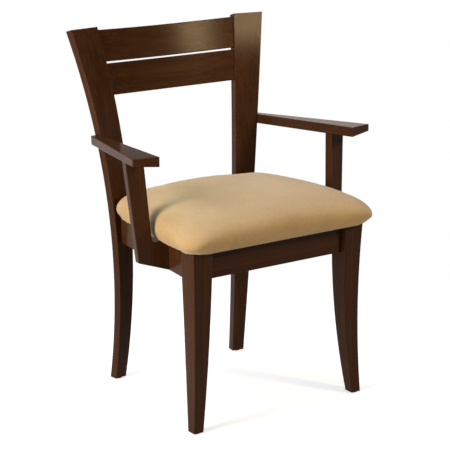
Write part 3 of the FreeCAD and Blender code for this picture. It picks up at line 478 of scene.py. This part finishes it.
class ARMCHAIR_OT_stage(bpy.types.Operator):
    """Camera, lamps and floor of the studio"""

    bl_idname = "armchair.stage"
    bl_label = "Studio"

    def execute(self, context):
        look = context.scene.armchair
        scene = context.scene
        data = bpy.data.cameras.new("camera")
        data.sensor_width = SENSOR_MM
        data.lens = LENS_MM
        data.clip_end = 100.0
        camera = bpy.data.objects.new("camera", data)
        camera.location = CAMERA_PLACE
        camera.rotation_euler = (CAMERA_TILT, 0.0, CAMERA_TURN)
        scene.collection.objects.link(camera)
        scene.camera = camera
        scene.view_settings.view_transform = "Standard"
        self.floor(scene, look)
        self.world(scene)
        self.lamp(scene, "left_key", CHAIR, (-2.3, 0.0, 1.85), (0.7, 0.7), 32.0,
                  (0.95, 0.85, 1.0))
        self.lamp(scene, "left_fill", CHAIR, (-2.4, -0.4, 0.7), (0.8, 0.8), 37.0,
                  (1.0, 0.88, 0.50))
        self.lamp(scene, "front_softbox", CREST, (0.97, -1.73, 1.58), (0.28, 0.38), 20.5,
                  (1.0, 0.74, 0.40), mirrored=True)
        self.lamp(scene, "rear_softbox", CHAIR, (1.9, 2.1, 1.25), (1.0, 1.0), 2.8,
                  (1.0, 0.84, 0.74), mirrored=True)
        self.lamp(scene, "rear_fill", CHAIR, (-0.2, 2.6, 1.3), (1.2, 1.2), 7.0,
                  (1.0, 0.92, 0.84))
        self.lamp(scene, "overhead_softbox", CHAIR, (-0.2, 0.2, 3.0), (2.2, 2.2), 56.0,
                  (0.60, 0.79, 1.0))
        return {"FINISHED"}

    def lamp(self, scene, name, aim, place, size, power, colour, mirrored=False):
        """Softbox turned to its aim, with or without a mirror image in the lacquer."""
        data = bpy.data.lights.new(name, "AREA")
        data.shape = "RECTANGLE"
        data.size = size[0]
        data.size_y = size[1]
        data.energy = power
        data.color = colour
        lamp = bpy.data.objects.new(name, data)
        lamp.location = place
        lamp.visible_glossy = mirrored
        lamp.rotation_euler = (aim - Vector(place)).to_track_quat("-Z", "Y").to_euler()
        scene.collection.objects.link(lamp)

    def floor(self, scene, look):
        """White paper floor and backdrop, with the chair's soft shadow kept."""
        mesh = bpy.data.meshes.new("floor")
        sheet = bmesh.new()
        bmesh.ops.create_grid(sheet, x_segments=1, y_segments=1, size=look.floor_size / 2)
        wall = bmesh.ops.extrude_edge_only(sheet, edges=sheet.edges)["geom"]
        bmesh.ops.translate(sheet, vec=(0.0, 0.0, look.backdrop_height),
                            verts=[part for part in wall if isinstance(part, bmesh.types.BMVert)])
        sheet.to_mesh(mesh)
        sheet.free()
        floor = bpy.data.objects.new("floor", mesh)
        scene.collection.objects.link(floor)
        material, tree, shader = new_material("white_paper")
        output = next(n for n in tree.nodes if n.type == "OUTPUT_MATERIAL")
        shader.inputs["Roughness"].default_value = 0.9
        shader.inputs["Specular IOR Level"].default_value = 0.0
        path = add(tree, "ShaderNodeLightPath")
        seen = seen_rays(tree, path)
        place = add(tree, "ShaderNodeTexCoord").outputs["Object"]
        reach = add(tree, "ShaderNodeVectorMath", {0: place}, operation="LENGTH").outputs["Value"]
        lit = add(tree, "ShaderNodeMapRange", {
            "Value": reach, "From Min": NEAR, "From Max": FAR,
            "To Min": PAPER_LIT, "To Max": 0.0})
        paper_tone = add(tree, "ShaderNodeMix", {
            "Factor": seen, "A": grey(PAPER_BOUNCE), "B": lit.outputs["Result"]},
            data_type="RGBA")
        tree.links.new(paper_tone.outputs["Result"], shader.inputs["Base Color"])
        white = add(tree, "ShaderNodeMapRange", {
            "Value": reach, "From Min": NEAR, "From Max": FAR,
            "To Min": NEAR_GLOW, "To Max": 1.0})
        strength = add(tree, "ShaderNodeMath", {0: seen, 1: white.outputs["Result"]},
                       operation="MULTIPLY")
        tint = ramp(tree, reach, (NEAR, NEAR_GLOW_COLOUR), (1.0, grey(1.0)))
        glow = add(tree, "ShaderNodeEmission", {
            "Color": tint, "Strength": strength.outputs["Value"]})
        paper = add(tree, "ShaderNodeAddShader", {
            0: shader.outputs["BSDF"], 1: glow.outputs["Emission"]})
        tree.links.new(paper.outputs["Shader"], output.inputs["Surface"])
        mesh.materials.append(material)

    def world(self, scene):
        """Even dim light from the room."""
        world = bpy.data.worlds.new("studio")
        world.use_nodes = True
        tree = world.node_tree
        tree.nodes.clear()
        light = add(tree, "ShaderNodeBackground", {
            "Color": grey(1.0), "Strength": ROOM_LIGHT})
        add(tree, "ShaderNodeOutputWorld", {"Surface": light.outputs["Background"]})
        scene.world = world


class ARMCHAIR_OT_show_wood(bpy.types.Operator):
    """Stained and lacquered wood of the legs, rails, slats, arms and arm supports"""

    bl_idname = "armchair.show_wood"
    bl_label = "Show wood"

    def execute(self, context):
        look = context.scene.armchair
        boards = (("stained_beech_across", 0, CROSSWISE),
                  ("stained_beech_lengthwise", 1, LENGTHWISE),
                  ("stained_beech_upright", 2, UPRIGHT))
        for name, along, nodes in boards:
            material = stained_wood(name, along, look)
            for node in nodes:
                finish_node(node, material)
        return {"FINISHED"}


class ARMCHAIR_OT_inner_parts(bpy.types.Operator):
    """Finishes of the corner blocks, dowels, seat panel, screws, glides and dust cover"""

    bl_idname = "armchair.inner_parts"
    bl_label = "Inner parts"

    def execute(self, context):
        for nodes, material in ((RAW_WOOD, raw_wood()), (STEEL, zinc_steel()),
                                (("foot_glides",), glide_plastic()),
                                (("seat_dust_cover",), dust_cloth())):
            for node in nodes:
                finish_node(node, material)
        return {"FINISHED"}


class SeatPlan:
    """Measures of the frame that the cushion is fitted to."""

    def __init__(self, look):
        self.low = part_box("seat_cover")[0]
        self.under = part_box("seat_panel")[0].z
        self.post_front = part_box("rear_leg_right")[0].y
        self.rest = self.under + REST_LAYER
        self.full = self.low.z + look.full_rise
        self.middle = (self.low.y + self.post_front) / 2
        self.depth = (self.post_front - self.low.y) / 2


class ARMCHAIR_OT_seat_cushion(bpy.types.Operator):
    """Stuffed seat cushion in tan cloth"""

    bl_idname = "armchair.seat_cushion"
    bl_label = "Seat cushion"

    def execute(self, context):
        look = context.scene.armchair
        cushion = joined_copy("seat_cushion", ("seat_foam", "seat_panel"))
        grid = cushion.modifiers.new("Grid", "REMESH")
        grid.mode = "VOXEL"
        grid.voxel_size = look.voxel
        blank = evaluated_mesh(cushion)
        cushion.modifiers.remove(grid)
        cushion.data = blank
        self.shape(cushion, look)
        for polygon in cushion.data.polygons:
            polygon.use_smooth = True
        cushion.data.materials.clear()
        cushion.data.materials.append(woven_cloth(look))
        finer = cushion.modifiers.new("Finer", "SUBSURF")
        finer.levels = 1
        finer.render_levels = 1
        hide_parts("seat_cover", "seat_foam")
        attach(cushion, "root")
        return {"FINISHED"}

    def shape(self, cushion, look):
        """Swells the cushion, fills out its sides and lays its lower edge on the rails."""
        plan = SeatPlan(look)
        self.stuff(cushion, look, plan)
        form = bmesh.new()
        form.from_mesh(cushion.data)
        loose = [v for v in form.verts if v.co.z > plan.rest]
        for _ in range(look.smoothing):
            bmesh.ops.smooth_vert(form, verts=loose, factor=0.5, use_axis_x=True,
                                  use_axis_y=True, use_axis_z=True)
        form.normal_update()
        top = max(v.co.z for v in form.verts)
        for vert in form.verts:
            self.fill(vert, look, plan)
            self.raise_top(vert, look, plan, top)
        self.lay(form, plan)
        form.to_mesh(cushion.data)
        form.free()

    def stuff(self, cushion, look, plan):
        """Moves each point by a share of its swelling, which is least beside the posts."""
        start = [v.co.copy() for v in cushion.data.vertices]
        end = start
        end = swell(cushion, look, lambda point: point.z < plan.rest)
        for vertex, before, after in zip(cushion.data.vertices, start, end):
            move = (after - before) * look.swelling_share
            near = fade(before.y, plan.post_front - SWELL_FADE[0], plan.post_front - SWELL_FADE[1])
            most = look.swelling * (1 - near) + POST_SWELL * near
            level = Vector((move.x, move.y, 0.0))
            level *= min(1.0, most / max(level.length, MM))
            rise = min(look.swelling, move.z)
            vertex.co = before + level + Vector((0.0, 0.0, rise))

    def fill(self, vert, look, plan):
        """Moves a point of the sides outwards, most at the lower edge."""
        free = fade(vert.co.y, plan.post_front - FILL_FADE[0], plan.post_front - FILL_FADE[1])
        lower = 1.0 - fade(vert.co.z, plan.low.z, plan.full)
        beside = 0.0 if vert.co.y > plan.post_front - POST_GAP else 1.0
        fill = beside * (look.side_fill + look.edge_fill * lower)
        # The lower edge faces half down, and goes out as far as the side above it
        side = vert.normal.to_2d()
        slant = max(side.length, 0.01)
        side *= 1 + (1 / slant - 1) * lower * fade(slant, *SIDE_SLANT)
        tucked = lower * fade(vert.co.y, plan.middle - TUCK_FADE[0], plan.middle - TUCK_FADE[1])
        vert.co.x += side.x * (fill + beside * look.flank_fill - look.corner_tuck * tucked)
        vert.co.y += side.y * fill * free
        under = 1.0 - fade(vert.co.z, plan.low.z, plan.low.z + 2 * look.full_rise)
        nook = under * unit(-vert.normal.y * 2) * unit(abs(vert.normal.x) * 2)
        vert.co.x += math.copysign(look.corner_fill * nook, vert.co.x)
        vert.co.y -= look.corner_fill * nook

    def raise_top(self, vert, look, plan, top):
        """Raises a point above the fullest line to the crown, lower towards the corners."""
        lift = (vert.co.z - plan.full) / (top - plan.full)
        if lift <= 0:
            return
        half = SEAT_HALF - SEAT_TAPER * (vert.co.y - plan.low.y)
        across = unit(abs(vert.co.x) / half)
        along = unit(abs(vert.co.y - plan.middle) / plan.depth)
        rearward = fade(vert.co.y, plan.middle, plan.middle + plan.depth)
        forward = fade(vert.co.y, plan.middle, plan.middle - plan.depth)
        drop = look.corner_drop + look.front_drop * forward
        vert.co.z = plan.full + lift * (look.crown - look.full_rise)
        vert.co.z -= drop * (across * along) ** 2 * lift
        vert.co.z += look.shoulder_fill * across ** 4 * (1 - along ** 2) * lift
        vert.co.z += look.rear_lift * rearward * lift

    def lay(self, form, plan):
        """Lays the underside on the rails, and just above the dust cover."""
        dust_low, dust_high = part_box("seat_dust_cover")
        for vert in form.verts:
            if vert.co.z < plan.rest:
                over_x = dust_low.x < vert.co.x < dust_high.x
                over_y = dust_low.y < vert.co.y < dust_high.y
                vert.co.z = plan.under + DUST_GAP if over_x and over_y else plan.low.z


class ARMCHAIR_PT_panel(bpy.types.Panel):
    """Armchair pieces and finishes"""

    bl_idname = "ARMCHAIR_PT_panel"
    bl_label = "Armchair"
    bl_space_type = "VIEW_3D"
    bl_region_type = "UI"
    bl_category = "Armchair"

    def draw(self, context):
        for operator in OPERATORS:
            self.layout.operator(operator.bl_idname)
        look = context.scene.armchair
        for name in ArmchairLook.__annotations__:
            self.layout.prop(look, name)


OPERATORS = (ARMCHAIR_OT_stage, ARMCHAIR_OT_show_wood, ARMCHAIR_OT_inner_parts,
             ARMCHAIR_OT_seat_cushion)
CLASSES = (ArmchairLook,) + OPERATORS + (ARMCHAIR_PT_panel,)


def register():
    for kind in CLASSES:
        bpy.utils.register_class(kind)
    bpy.types.Scene.armchair = PointerProperty(type=ArmchairLook)


def unregister():
    del bpy.types.Scene.armchair
    for kind in reversed(CLASSES):
        bpy.utils.unregister_class(kind)


def main():
    register()
    bpy.ops.armchair.stage()
    bpy.ops.armchair.show_wood()
    bpy.ops.armchair.inner_parts()
    bpy.ops.armchair.seat_cushion()


if __name__ == "__main__":
    main()
